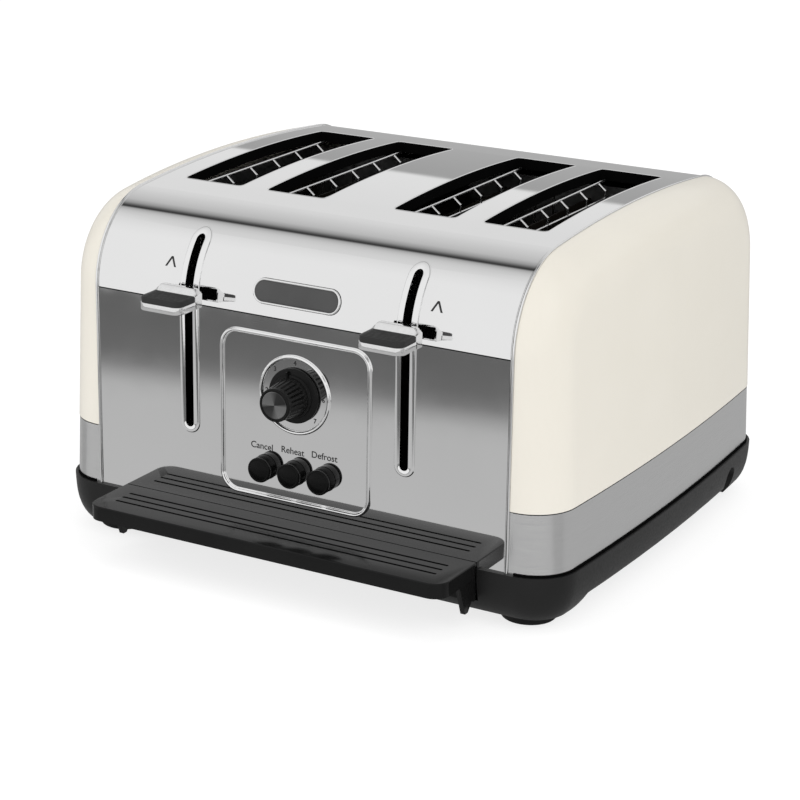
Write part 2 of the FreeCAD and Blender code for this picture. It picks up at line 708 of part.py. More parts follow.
def lever_body():
    """Metal lever: tray under the pad, upright bar behind it and the stem, right hand."""
    y0, y1 = LEVER_BAR_Y
    plate = lever_slab(0, y1, LEVER_PLATE_Z, LEVER_PAD_Z[0])
    x0 = LEVER_X - LEVER_HALF_W
    x1 = LEVER_X + LEVER_HALF_W
    outline = [V(x0, y0, LEVER_PLATE_Z), V(x0, y0, LEVER_BAR_Z - 3.0), V(x0, y0 + 2.2, LEVER_BAR_Z),
               V(x0, y1 - 1.0, LEVER_BAR_Z), V(x0, y1, LEVER_BAR_Z - 1.0), V(x0, y1, LEVER_PLATE_Z)]
    bar = prism(outline, V(x1 - x0, 0, 0))
    for end, inward in ((x0, 1), (x1, -1)):
        corner = [V(end, y0 - 1, LEVER_BAR_Z), V(end + inward * 3, y0 - 1, LEVER_BAR_Z),
                  V(end, y0 - 1, LEVER_BAR_Z - 3)]
        bar = bar.cut(prism(corner, V(0, y1 - y0 + 2, 0)))
    stem = box(LEVER_X - 1.5, LEVER_X + 1.5, y1 - 1, FRONT_Y + 24, STEM_Z[0], STEM_Z[1])
    return fuse([plate, bar, stem])


def lever_pad():
    """Grip pad with fine ridges, right hand."""
    z0, z1 = LEVER_PAD_Z
    pad = lever_slab(0.3, LEVER_BAR_Y[0], z0, z1)
    rim = [e for e in pad.Edges if all(abs(p.z - z1) < 1e-6 for p in e.discretize(3))]
    rim = [e for e in rim if min(p.y for p in e.discretize(3)) < LEVER_BAR_Y[0] - 1]
    pad = pad.makeFillet(0.8, rim)
    grooves = []
    for k in range(4):
        y = LEVER_FRONT_Y + 3.6 + 3.0 * k
        grooves.append(box(LEVER_X - 11, LEVER_X + 11, y - 0.3, y + 0.3, z1 - 0.4, z1 + 1))
    return cut(pad, grooves)


# ---------------------------------------------------------------- controls
BOARD_Y = FRONT_Y + 14.0


def control_board():
    return box(-43, 43, BOARD_Y, BOARD_Y + 1.6, FLANGE_Z[0] + 1.2, 132.0)


def tact_switches():
    switches = []
    for x in BUTTON_XS.values():
        case = box(x - 3, x + 3, BOARD_Y - 3.4, BOARD_Y, BUTTON_Z - 3, BUTTON_Z + 3)
        plunger = rod(V(x, BOARD_Y - 4.6, BUTTON_Z), V(x, BOARD_Y - 3, BUTTON_Z), 1.7)
        switches.append(fuse([case, plunger]))
    return Part.makeCompound(switches)


def timer_pot():
    case = rod(V(0, BOARD_Y, DIAL_Z), V(0, FRONT_Y + 5, DIAL_Z), 8.0)
    return case.cut(rod(V(0, FRONT_Y + 4, DIAL_Z), V(0, BOARD_Y - 2, DIAL_Z), 3.05))


def dial_shaft():
    """Shaft with a flat that drives the knob."""
    shaft = rod(V(0, BOARD_Y - 2.2, DIAL_Z), V(0, FRONT_Y - 14, DIAL_Z), 3.0)
    return shaft.cut(box(-5, 5, FRONT_Y - 15, FRONT_Y - 4, DIAL_Z + 2.0, DIAL_Z + 5))


KNOB_OUT = 21.1
KNOB_FRONT_R = 9.0


def dial_knob():
    """Skirt with a pointer, collar, and a fluted grip that narrows to the front."""
    axis = V(0, -1, 0)

    def disc(radius, near, far):
        return Part.makeCylinder(radius, far - near, V(0, FRONT_Y - near, DIAL_Z), axis)

    skirt = Part.makeCone(15.3, 14.2, 2.6, V(0, FRONT_Y - 0.6, DIAL_Z), axis)
    collar = disc(11.4, 3.0, 4.6)
    grip = Part.makeCone(10.7, KNOB_FRONT_R, KNOB_OUT - 4.4, V(0, FRONT_Y - 4.4, DIAL_Z), axis)
    flutes = []
    for k in range(18):
        angle = math.radians(20 * k + 10)
        x = math.cos(angle)
        z = math.sin(angle)
        back = V(11.9 * x, FRONT_Y - 5.4, DIAL_Z + 11.9 * z)
        front = V(10.6 * x, FRONT_Y - KNOB_OUT + 2.2, DIAL_Z + 10.6 * z)
        flutes.append(rod(back, front, 1.7))
    pointer = box(-0.9, 0.9, FRONT_Y - 5.2, FRONT_Y - 2.0, DIAL_Z + 9.5, DIAL_Z + 14.0)
    grip = grip.cut(Part.makeCompound(flutes))
    whole = fuse([skirt, collar, grip, pointer])
    recess = disc(7.7, KNOB_OUT - 0.7, KNOB_OUT + 1)
    socket = dial_shaft()
    return cut(whole, [recess, socket])


def dial_cap():
    axis = V(0, -1, 0)
    return Part.makeCylinder(7.6, 0.8, V(0, FRONT_Y - KNOB_OUT + 0.7, DIAL_Z), axis)


def button(x):
    """Push button: domed cap with a groove, retaining flange and stem."""
    face = BUTTON_OUT - 1.4
    axis = V(0, -1, 0)
    barrel = Part.makeCylinder(BUTTON_R, face + 1.3, V(x, FRONT_Y + 1.3, BUTTON_Z), axis)
    dome_r = (BUTTON_R ** 2 + 1.4 ** 2) / (2 * 1.4)
    dome = Part.makeSphere(dome_r, V(x, FRONT_Y - BUTTON_OUT + dome_r, BUTTON_Z))
    near = Part.makeCylinder(BUTTON_R, 2.0, V(x, FRONT_Y - face + 0.1, BUTTON_Z), axis)
    flange = Part.makeCylinder(BUTTON_R + 1.2, 1.5, V(x, FRONT_Y + 2.8, BUTTON_Z), axis)
    stem = Part.makeCylinder(3.0, 3.5, V(x, FRONT_Y + 6.2, BUTTON_Z), axis)
    whole = fuse([barrel, dome.common(near), flange, stem])
    groove = Part.makeTorus(BUTTON_R, 0.35, V(x, FRONT_Y - face + 0.6, BUTTON_Z), axis)
    return whole.cut(groove)


# ---------------------------------------------------------------- all pieces
def all_parts():
    parts = {
        "base": base(),
        "feet": feet(),
        "base_screws": base_screws(),
        "cord_gland": cord_gland(),
        "front_panel": front_panel(),
        "rear_panel": rear_panel(),
        "top_cover": top_cover(),
        "control_frame": control_frame(),
        "dial_ring": dial_ring(),
        "badge": badge(),
        "badge_rim": badge_rim(),
        "tray_handle": tray_handle(),
        "crumb_tray": crumb_tray(),
        "chamber_front": chamber_front(),
        "chamber_rear": chamber_rear(),
        "guide_rods": guide_rods(),
        "latch_magnets": latch_magnets(),
        "control_board": control_board(),
        "tact_switches": tact_switches(),
        "timer_pot": timer_pot(),
        "dial_shaft": dial_shaft(),
        "dial_knob": dial_knob(),
        "dial_cap": dial_cap(),
    }
    handed = {
        "side_panel": side_panel,
        "side_band": side_band,
        "edge_trim": edge_trim,
        "lever_bezel": lever_bezel,
        "heat_shield": heat_shield,
        "heater_boards": heater_boards,
        "heater_wires": heater_wires,
        "carriage": carriage,
        "carriage_spring": carriage_spring,
        "lever_body": lever_body,
        "lever_pad": lever_pad,
    }
    for name, make in handed.items():
        right = make()
        parts[name + "_right"] = right
        parts[name + "_left"] = mirrored(right)
    for label, x in BUTTON_XS.items():
        parts["button_" + label] = button(x)
    for number, x in enumerate(SLOT_XS, start=1):
        parts["bread_rack_" + str(number)] = bread_rack(x)
    for number, (x, side) in enumerate(guide_places(), start=1):
        parts["bread_guide_" + str(number)] = bread_guide(x, side)
    return parts


os.makedirs("parts", exist_ok=True)
for node, shape in all_parts().items():
    shape.exportStep("parts/" + node + ".step")
    print(node, "solids", len(shape.Solids), "valid", shape.isValid(), "volume", round(shape.Volume, 1))
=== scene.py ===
import json
import math

import bpy
import bmesh
from mathutils import Matrix, Vector


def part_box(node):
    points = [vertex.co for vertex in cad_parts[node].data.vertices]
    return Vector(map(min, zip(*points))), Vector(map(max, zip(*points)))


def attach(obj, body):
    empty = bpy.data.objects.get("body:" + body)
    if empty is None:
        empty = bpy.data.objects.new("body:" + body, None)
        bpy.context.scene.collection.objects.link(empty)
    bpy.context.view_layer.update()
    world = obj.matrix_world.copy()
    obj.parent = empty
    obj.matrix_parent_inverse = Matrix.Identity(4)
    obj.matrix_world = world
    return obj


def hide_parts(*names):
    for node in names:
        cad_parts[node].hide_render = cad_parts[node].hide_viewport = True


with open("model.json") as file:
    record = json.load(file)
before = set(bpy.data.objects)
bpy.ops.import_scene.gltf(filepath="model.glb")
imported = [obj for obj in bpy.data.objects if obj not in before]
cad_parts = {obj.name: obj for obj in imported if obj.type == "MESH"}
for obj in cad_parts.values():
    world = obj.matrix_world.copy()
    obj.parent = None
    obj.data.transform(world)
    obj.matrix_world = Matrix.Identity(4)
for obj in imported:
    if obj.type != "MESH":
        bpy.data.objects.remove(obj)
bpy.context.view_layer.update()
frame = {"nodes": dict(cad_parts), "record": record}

MM = 0.001


# ---------------------------------------------------------------- places, from the frame
def low(node):
    return Vector(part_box(node)[0])


def high(node):
    return Vector(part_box(node)[1])


def middle(node):
    return (low(node) + high(node)) / 2


SIDES = {"left": -1, "right": 1}
FRONT_Y = low("front_panel").y
REAR_Y = high("rear_panel").y
MID_Y = (FRONT_Y + REAR_Y) / 2
RIM_Z = low("front_panel").z
BEND_Z = low("top_cover").z
BEND_R = 48.8 * MM           # bend from the panels to the crown
CROWN_Z = high("top_cover").z
SEAM_X = high("edge_trim_right").x + 0.1 * MM
RIM_OUT = 1.9 * MM           # base rim beyond the metal shell
BULGE_X = high("base").x - RIM_OUT
BAND_TOP = high("side_band_right").z
CORNER_R = 24.4 * MM         # rounding of the side panels' outer edge
BOW_R = 1825 * MM            # plan radius of the side panels, at the rim
DRAFT = 0.043                # inward lean of the side panels


def crown_radius():
    """Radius of the crown's arc, which is tangent to both bends."""
    span = (REAR_Y - FRONT_Y) / 2 - BEND_R
    rise = CROWN_Z - BEND_Z
    return (span ** 2 + rise ** 2 - BEND_R ** 2) / (2 * (rise - BEND_R))


CROWN_R = crown_radius()
TANGENT = math.asin(((REAR_Y - FRONT_Y) / 2 - BEND_R) / (CROWN_R - BEND_R))


# ---------------------------------------------------------------- shader node helper
class Finish:
    """One procedural material, built from a few short calls."""

    def __init__(self, name):
        self.material = bpy.data.materials.new(name)
        self.material.use_nodes = True
        self.tree = self.material.node_tree
        self.shader = self.tree.nodes["Principled BSDF"]
        self.coords = None

    def add(self, kind):
        return self.tree.nodes.new(kind)

    def link(self, source, target):
        self.tree.links.new(source, target)

    def set(self, **values):
        for key, value in values.items():
            self.shader.inputs[key.replace("_", " ")].default_value = value

    def noise(self, scale, detail=3.0, stretch=(1, 1, 1)):
        if self.coords is None:
            self.coords = self.add("ShaderNodeTexCoord")
        mapping = self.add("ShaderNodeMapping")
        mapping.inputs["Scale"].default_value = stretch
        self.link(self.coords.outputs["Object"], mapping.inputs["Vector"])
        node = self.add("ShaderNodeTexNoise")
        node.inputs["Scale"].default_value = scale
        node.inputs["Detail"].default_value = detail
        self.link(mapping.outputs["Vector"], node.inputs["Vector"])
        return node.outputs["Fac"]

    def ramp(self, fac, low_value, high_value, socket):
        """Runs a socket from one value to another as the noise goes from low to high."""
        node = self.add("ShaderNodeValToRGB")
        for element, place, value in zip(node.color_ramp.elements, (0.3, 0.7), (low_value, high_value)):
            element.position = place
            element.color = (*value, 1) if isinstance(value, tuple) else (value, value, value, 1)
        self.link(fac, node.inputs["Fac"])
        self.link(node.outputs["Color"], self.shader.inputs[socket])

    def bump(self, height, strength, distance=0.0001):
        node = self.add("ShaderNodeBump")
        node.inputs["Strength"].default_value = strength
        node.inputs["Distance"].default_value = distance
        self.link(height, node.inputs["Height"])
        self.link(node.outputs["Normal"], self.shader.inputs["Normal"])


def linear(value):
    """Linear light of a 0 to 255 display value."""
    value /= 255
    return value / 12.92 if value <= 0.04045 else ((value + 0.055) / 1.055) ** 2.4


def shade(r, g, b):
    return (linear(r), linear(g), linear(b))


def grey(value):
    return (value, value, value)


# ---------------------------------------------------------------- materials
def mirror_steel(name, tone, roughness):
    m = Finish(name)
    m.set(Metallic=1.0)
    m.ramp(m.noise(14, 2), grey(tone - 0.02), grey(tone), "Base Color")
    m.ramp(m.noise(60, 4), roughness * 0.7, roughness * 1.3, "Roughness")
    return m.material


def satin_steel():
    m = Finish("satin_steel_finish")
    m.set(Metallic=1.0, Anisotropic=0.3)
    grain = m.noise(2600, 2, (0.02, 0.02, 1))
    m.ramp(grain, grey(0.8), grey(0.84), "Base Color")
    m.ramp(grain, 0.22, 0.26, "Roughness")
    m.bump(grain, 0.008)
    return m.material


def cream_enamel():
    m = Finish("cream_enamel_finish")
    m.set(Coat_Weight=0.35, Coat_Roughness=0.15)
    m.ramp(m.noise(9, 3), shade(234, 229, 217), shade(238, 233, 222), "Base Color")
    m.ramp(m.noise(120, 3), 0.32, 0.4, "Roughness")
    m.bump(m.noise(700, 2), 0.04)
    return m.material


def plastic(name, tone, roughness, specular, grain=900, depth=0.1):
    """Moulded plastic: tone and roughness wander a little, over a fine moulded grain."""
    m = Finish(name)
    m.shader.inputs["Specular IOR Level"].default_value = specular
    dark = tuple(0.8 * c for c in tone)
    m.ramp(m.noise(30, 3), dark, tone, "Base Color")
    m.ramp(m.noise(grain / 3, 3), roughness * 0.85, roughness * 1.15, "Roughness")
    m.bump(m.noise(grain, 2), depth)
    return m.material


def bare_metal(name, tone, roughness, stretch=(1, 1, 1), contrast=0.85, depth=0.05):
    m = Finish(name)
    m.set(Metallic=1.0)
    grain = m.noise(500, 4, stretch)
    m.ramp(grain, tuple(contrast * c for c in tone), tone, "Base Color")
    m.ramp(grain, roughness * 0.8, roughness * 1.2, "Roughness")
    m.bump(grain, depth)
    return m.material


def spun_aluminium(hub):
    """Spun face: fine turned rings, and two light and two dark wedges painted into the base colour round the
    hub, a painted highlight and painted shade in place of the face's reflection.
    """
    m = Finish("spun_aluminium_finish")
    m.set(Metallic=1.0, Anisotropic=0.6)
    grain = m.noise(900, 3)
    m.ramp(grain, 0.28, 0.36, "Roughness")
    about_hub = m.add("ShaderNodeMapping")
    about_hub.inputs["Rotation"].default_value = (-math.pi / 2, 0, 0)
    about_hub.inputs["Location"].default_value = (-hub.x, -hub.z, hub.y)
    m.link(m.coords.outputs["Object"], about_hub.inputs["Vector"])
    # base colour set by the angle round the hub: painted highlight in two wedges, painted shade in the two
    # between
    sheen_wedge = m.add("ShaderNodeTexGradient")
    sheen_wedge.gradient_type = "RADIAL"
    m.link(about_hub.outputs["Vector"], sheen_wedge.inputs["Vector"])
    wedge_shade_tones = m.add("ShaderNodeValToRGB")
    for start in (0.0, 0.5):
        for place, tone in ((0.0, 0.25), (0.045, 0.05), (0.205, 0.06), (0.32, 0.22)):
            element = wedge_shade_tones.color_ramp.elements.new(start + place)
            element.color = (tone, tone, tone, 1)
    ends = wedge_shade_tones.color_ramp.elements
    ends.remove(ends[0])
    ends[len(ends) - 1].color = (0.25, 0.25, 0.25, 1)
    m.link(sheen_wedge.outputs["Fac"], wedge_shade_tones.inputs["Fac"])
    m.link(wedge_shade_tones.outputs["Color"], m.shader.inputs["Base Color"])
    rings = m.add("ShaderNodeTexWave")
    rings.wave_type = "RINGS"
    rings.rings_direction = "Z"
    rings.inputs["Scale"].default_value = 500.0
    m.link(about_hub.outputs["Vector"], rings.inputs["Vector"])
    m.bump(rings.outputs["Fac"], 0.1, 0.00005)
    return m.material


MATERIALS = {
    "polished_steel": mirror_steel("polished_steel_finish", 0.935, 0.035),
    "satin_steel": satin_steel(),
    "cream_enamel": cream_enamel(),
    "chrome_trim": mirror_steel("chrome_finish", 0.97, 0.045),
    "badge_enamel": plastic("badge_enamel_finish", grey(0.075), 0.2, 0.3, 400, 0.02),
    "black_plastic": plastic("black_plastic_finish", grey(0.012), 0.4, 0.25, 2400, 0.03),
    "satin_black": plastic("satin_black_finish", grey(0.009), 0.18, 0.16, 1200, 0.03),
    "rubber": plastic("rubber_finish", grey(0.009), 0.6, 0.1),
    "gloss_black": plastic("gloss_black_finish", grey(0.005), 0.25, 0.1, 800, 0.02),
    "spun_aluminium": spun_aluminium(middle("dial_cap")),
    "lever_metal": bare_metal("lever_metal_finish", grey(0.88), 0.12, (1, 1, 1), 0.94, 0.02),
    "grip_grey": plastic("grip_grey_finish", grey(0.034), 0.45, 0.15, 1400, 0.15),
    "zinc_steel": bare_metal("zinc_steel_finish", grey(0.2), 0.45),
    "wire_steel": bare_metal("wire_steel_finish", grey(0.85), 0.2),
    # mica made nearly black: painted shade inside the deep bread slots
    "mica": plastic("mica_shade_finish", (0.012, 0.01, 0.008), 0.6, 0.1, 200, 0.3),
    "resistance_wire": bare_metal("resistance_wire_finish", (0.03, 0.028, 0.026), 0.5),
    "circuit_board": plastic("circuit_board_finish", (0.012, 0.04, 0.02), 0.4, 0.2),
    "dark_component": plastic("dark_component_finish", grey(0.01), 0.5, 0.2),
}
PRINT = plastic("printed_ink", grey(0.045), 0.5, 0.1, 300, 0.02)
SHADOW = plastic("shadow_gap_finish", grey(0.003), 0.8, 0.02, 300, 0.02)
SLOT_OF = {entry["node"]: entry["material_slot"] for entry in frame["record"]["subparts"]}
for node, slot_name in SLOT_OF.items():
    cad_mesh = frame["nodes"][node].data
    cad_mesh.materials.clear()
    cad_mesh.materials.append(MATERIALS[slot_name])


# ---------------------------------------------------------------- mesh helpers
def surface(rings, closed_path=True, closed_ring=True, caps=False):
    """Mesh over a row of rings that all have the same number of points."""
    shape = bmesh.new()
    rows = [[shape.verts.new(point) for point in ring] for ring in rings]
    count = len(rows[0])
    row_steps = range(len(rows) if closed_path else len(rows) - 1)
    ring_steps = range(count if closed_ring else count - 1)
    for i in row_steps:
        for j in ring_steps:
            here = rows[i]
            there = rows[(i + 1) % len(rows)]
            k = (j + 1) % count
            shape.faces.new((here[j], here[k], there[k], there[j]))
    if caps:
        shape.faces.new(rows[0])
        shape.faces.new(rows[-1])
    return shape


def to_mesh(name, shape, sharp=35):
    bmesh.ops.recalc_face_normals(shape, faces=shape.faces)
    mesh = bpy.data.meshes.new(name)
    shape.to_mesh(mesh)
    shape.free()
    mesh.shade_smooth()
    mesh.set_sharp_from_angle(angle=math.radians(sharp))
    return mesh


def piece(name, mesh, body, slot, nodes=(), material=None):
    obj = bpy.data.objects.new(name, mesh)
    bpy.context.collection.objects.link(obj)
    mesh.materials.append(material or MATERIALS[slot])
    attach(obj, body)
    if nodes:
        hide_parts(*nodes)
    return obj


def bevel(obj, width, segments=3, angle=35):
    modifier = obj.modifiers.new("edges", "BEVEL")
    modifier.width = width
    modifier.segments = segments
    modifier.limit_method = "ANGLE"
    modifier.angle_limit = math.radians(angle)
    modifier.harden_normals = True
    modifier.miter_outer = "MITER_ARC"
    return obj


def arc(centre_a, centre_b, radius, start, end, count):
    points = []
    for i in range(count):
        angle = math.radians(start + (end - start) * i / (count - 1))
        points.append((centre_a + radius * math.cos(angle), centre_b + radius * math.sin(angle)))
    return points


def round_rect(half_a, half_b, radius, turns=9, sides=1):
    """Closed outline with round corners; its long sides, along b, are cut into short steps."""
    outline = []
    for sign_a, sign_b, start in ((1, 1, 0), (-1, 1, 90), (-1, -1, 180), (1, -1, 270)):
        centre_a = sign_a * (half_a - radius)
        centre_b = sign_b * (half_b - radius)
        outline += arc(centre_a, centre_b, radius, start, start + 90, turns)
        if sign_a < 0 and sign_b > 0:
            outline += side_steps(-half_a, half_b - radius, sides)
        if sign_a > 0 and sign_b < 0:
            outline += side_steps(half_a, radius - half_b, sides)
    return outline


def side_steps(a, b, sides):
    return [(a, b * (1 - 2 * i / sides)) for i in range(1, sides)]


def front_point(x, z, rise):
    """Point on the front panel or its bend, or raised from it."""
    if z <= BEND_Z:
        return Vector((x, FRONT_Y - rise, z))
    angle = math.asin((z - BEND_Z) / BEND_R)
    radius = BEND_R + rise
    return Vector((x, FRONT_Y + BEND_R - radius * math.cos(angle), BEND_Z + radius * math.sin(angle)))


def crown_point(x, y, rise):
    angle = math.asin((y - MID_Y) / CROWN_R)
    radius = CROWN_R + rise
    return Vector((x, MID_Y + radius * math.sin(angle), CROWN_Z - CROWN_R + radius * math.cos(angle)))


def framed(place, half_a, half_b, corner, section, turns=9, sides=1):
    """Rim round an opening: each section point is an outward offset and a height, in mm."""
    rings = []
    for out, rise in section:
        grow = out * MM
        outline = round_rect(half_a + grow, half_b + grow, corner + grow, turns, sides)
        rings.append([place(a, b, rise * MM) for a, b in outline])
    return surface(rings)


# ---------------------------------------------------------------- side outline and its trims
def hoop_path():
    """Points and outward directions up the front, over the crown and down the rear."""
    path = [((FRONT_Y, RIM_Z), (-1, 0)), ((FRONT_Y, (RIM_Z + BEND_Z) / 2), (-1, 0))]
    steps = 28
    turn = math.pi / 2 - TANGENT
    for i in range(steps + 1):
        angle = turn * i / steps
        out = (-math.cos(angle), math.sin(angle))
        path.append(((FRONT_Y + BEND_R + BEND_R * out[0], BEND_Z + BEND_R * out[1]), out))
    for i in range(1, 2 * steps):
        angle = -TANGENT + TANGENT * i / steps
        out = (math.sin(angle), math.cos(angle))
        path.append(((MID_Y + CROWN_R * out[0], CROWN_Z - CROWN_R + CROWN_R * out[1]), out))
    front_half = path[:steps + 3]
    for (y, z), out in reversed(front_half):
        path.append(((2 * MID_Y - y, z), (-out[0], out[1])))
    return path


def trim_bead(side):
    """Lip, groove and round bead along the seam between the cover and a side panel."""
    section = [(-2.1, -1.2), (-2.1, 0.12), (-1.95, 0.3), (-1.72, 0.3), (-1.62, 0.1), (-1.58, -0.5),
               (-1.42, -0.5)]
    section += [(a, 0.1 + b) for a, b in arc(-0.76, 0.0, 0.64, 180, 0, 9)]
    section += [(-0.1, -1.2)]
    rings = []
    for (y, z), (out_y, out_z) in hoop_path():
        ring = []
        for across, rise in section:
            x = side * (SEAM_X + across * MM)
            ring.append(Vector((x, y + out_y * rise * MM, z + out_z * rise * MM)))
        rings.append(ring)
    return surface(rings, closed_path=False, caps=True)


def plan_path(offset, z):
    """The right side's outline at height z seen from above, from the front seam to the rear seam."""
    bow_x = BULGE_X - BOW_R
    bow_r = BOW_R - DRAFT * (z - RIM_Z)
    corner_y = (REAR_Y - FRONT_Y) / 2 - CORNER_R
    corner_x = bow_x + math.sqrt((bow_r - CORNER_R) ** 2 - corner_y ** 2)
    turn = math.atan2(corner_y, corner_x - bow_x)
    radius = CORNER_R + offset
    start = -math.acos(min(1.0, max(0.0, (SEAM_X - corner_x) / radius)))
    points = []
    steps = 12
    for i in range(steps + 1):
        angle = start + (-turn - start) * i / steps
        points.append((corner_x + radius * math.cos(angle), MID_Y - corner_y + radius * math.sin(angle)))
    front_half = points[:]
    for i in range(1, 2 * steps):
        angle = -turn + 2 * turn * i / (2 * steps)
        reach = bow_r + offset
        points.append((bow_x + reach * math.cos(angle), MID_Y + reach * math.sin(angle)))
    points += [(x, 2 * MID_Y - y) for x, y in reversed(front_half)]
    return points


def side_strip(side, section):
    """Strip round one side of the body; section points are outward offsets and heights."""
    rings = []
    for offset, z in section:
        rings.append([Vector((side * x, y, z)) for x, y in plan_path(offset * MM, z)])
    turned = [list(ring) for ring in zip(*rings)]
    return surface(turned, closed_path=False, caps=True)


def panel_joint():
    """Near-black strip laid just proud of the panel, a painted shadow line along the joint between the front
    panel and the bend above it, and the same at the rear.
    """
    half = SEAM_X - 2.3 * MM
    for name, y, out in (("front", FRONT_Y, -1), ("rear", REAR_Y, 1)):
        outline = ((-0.3, -0.65), (0.03, -0.65), (0.03, -0.05), (-0.3, -0.05))
        profile = [(y + out * rise * MM, BEND_Z + up * MM) for rise, up in outline]
        mesh = to_mesh("panel_joint", extrusion(profile, -half, half))
        piece(f"panel_joint_{name}", mesh, "housing", "rubber", material=SHADOW)


def shell_trims():
    """Seam beads, and near-black strips of painted shadow in the gaps above the steel bands and under them.
    """
    # both outlines are near-black strips that paint the shadow in these gaps
    gap = ((-0.9, -0.1), (-0.12, -0.1), (-0.12, 0.5), (-0.9, 0.5))
    base_gap_outline = ((-0.9, -0.3), (0.35, -0.3), (0.3, 1.25), (-0.9, 1.3))
    for name, side in SIDES.items():
        mesh = to_mesh("seam_bead", trim_bead(side), 50)
        piece(f"seam_bead_{name}", mesh, "housing", "chrome_trim", (f"edge_trim_{name}",))
        for kind, foot, outline in (("band_gap_shade", BAND_TOP, gap), ("base_gap_shade", RIM_Z, base_gap_outline)):
            section = [(out, foot + up * MM) for out, up in outline]
            mesh = to_mesh(kind, side_strip(side, section))
            piece(f"{kind}_{name}", mesh, "housing", "rubber", material=SHADOW)


# ---------------------------------------------------------------- openings in the cover
LEVER_X = middle("lever_bezel_right").x
SLOT_HALF = 5.2 / 2 * MM
LEVER_SLOT_LOW = 77.3 * MM
LEVER_SLOT_HIGH = 183.2 * MM
BREAD_SLOT_HALF = (19.0 * MM, 75.0 * MM, 3.0 * MM)     # half width, half length, corner radius


def lever_bezels():
    """Flat bright skins round the two lever slots, bent with the cover."""
    section = [(0.0, -1.2), (0.0, 0.78), (0.03, 0.8), (2.95, 0.8), (3.2, 0.72), (3.4, 0.5), (3.55, 0.25),
               (3.65, 0.0), (1.6, 0.0), (1.6, -1.2)]
    mid_z = (LEVER_SLOT_LOW + LEVER_SLOT_HIGH) / 2
    half_l = (LEVER_SLOT_HIGH - LEVER_SLOT_LOW) / 2
    for name, side in SIDES.items():
        def place(a, b, rise):
            return front_point(side * LEVER_X + a, mid_z + b, rise)
        shape = framed(place, SLOT_HALF, half_l, SLOT_HALF - 0.01 * MM, section, 12, 60)
        piece(f"slot_bezel_{name}", to_mesh("slot_bezel", shape, 50), "housing", "chrome_trim",
              (f"lever_bezel_{name}",))


def bread_slot_rims():
    """Fine rolled edge round each bread slot, and a near-black lining down its turned-down wall that paints
    the shade inside the slot.
    """
    lip = [(-0.1, -1.2), (-0.1, -0.05), (0.0, 0.1), (0.2, 0.17), (0.5, 0.17), (0.75, 0.1), (0.9, 0.0),
           (0.9, -0.3), (0.1, -1.2)]
    shade_lining = [(-0.12, -6.3), (-0.12, -0.12), (-0.02, -0.05), (0.05, -0.2), (0.05, -6.3)]
    half_x, half_y, corner = BREAD_SLOT_HALF
    for number in range(1, 5):
        slot_x = middle(f"bread_rack_{number}").x

        def place(a, b, rise):
            return crown_point(slot_x + a, MID_Y + b, rise)
        shape = framed(place, half_x, half_y, corner, lip, 7, 40)
        piece(f"slot_rim_{number}", to_mesh("slot_rim", shape, 50), "housing", "polished_steel")
        # near-black lining: painted shade in the slot
        shape = framed(place, half_x, half_y, corner, shade_lining, 7, 40)
        piece(f"slot_shade_lining_{number}", to_mesh("slot_shade_lining", shape, 50), "housing", "dark_component",
              material=SHADOW)


# ---------------------------------------------------------------- front panel details
def panel_ring(name, x, z, half_x, half_z, corner, section, slot, nodes, turns=12):
    """Frame on the front panel with round corners."""
    def place(a, b, rise):
        return front_point(x + a, z + b, rise)
    shape = framed(place, half_x, half_z, corner, section, turns, 1)
    return piece(name, to_mesh(name, shape, 50), "housing", slot, nodes)


def control_surround():
    """Rounded square frame: a broad bead with a fine one inside it."""
    box_low = low("control_frame")
    box_high = high("control_frame")
    z = (box_low.z + box_high.z) / 2
    section = [(0.0, 0.0), (-0.02, 0.55), (-0.22, 1.05), (-0.6, 1.38), (-1.05, 1.5), (-1.45, 1.38),
               (-1.75, 1.05), (-1.9, 0.6), (-2.0, 0.45), (-2.1, 0.6), (-2.25, 0.72), (-2.45, 0.62),
               (-2.58, 0.35), (-2.6, 0.0)]
    panel_ring("control_surround", 0.0, z, box_high.x, (box_high.z - box_low.z) / 2, 11.2 * MM, section,
               "chrome_trim", ("control_frame",))


def dial_surround():
    centre = middle("dial_ring")
    radius = high("dial_ring").x
    section = [(0.0, 0.0), (-0.05, 0.5), (-0.3, 0.95), (-0.7, 1.3), (-1.15, 1.4), (-1.5, 1.25), (-1.8, 0.8),
               (-2.0, 0.35), (-2.15, 0.3), (-2.3, 0.12), (-2.35, 0.0)]
    panel_ring("dial_surround", 0.0, centre.z, radius, radius, radius - 0.001 * MM, section, "chrome_trim",
               ("dial_ring",), 24)


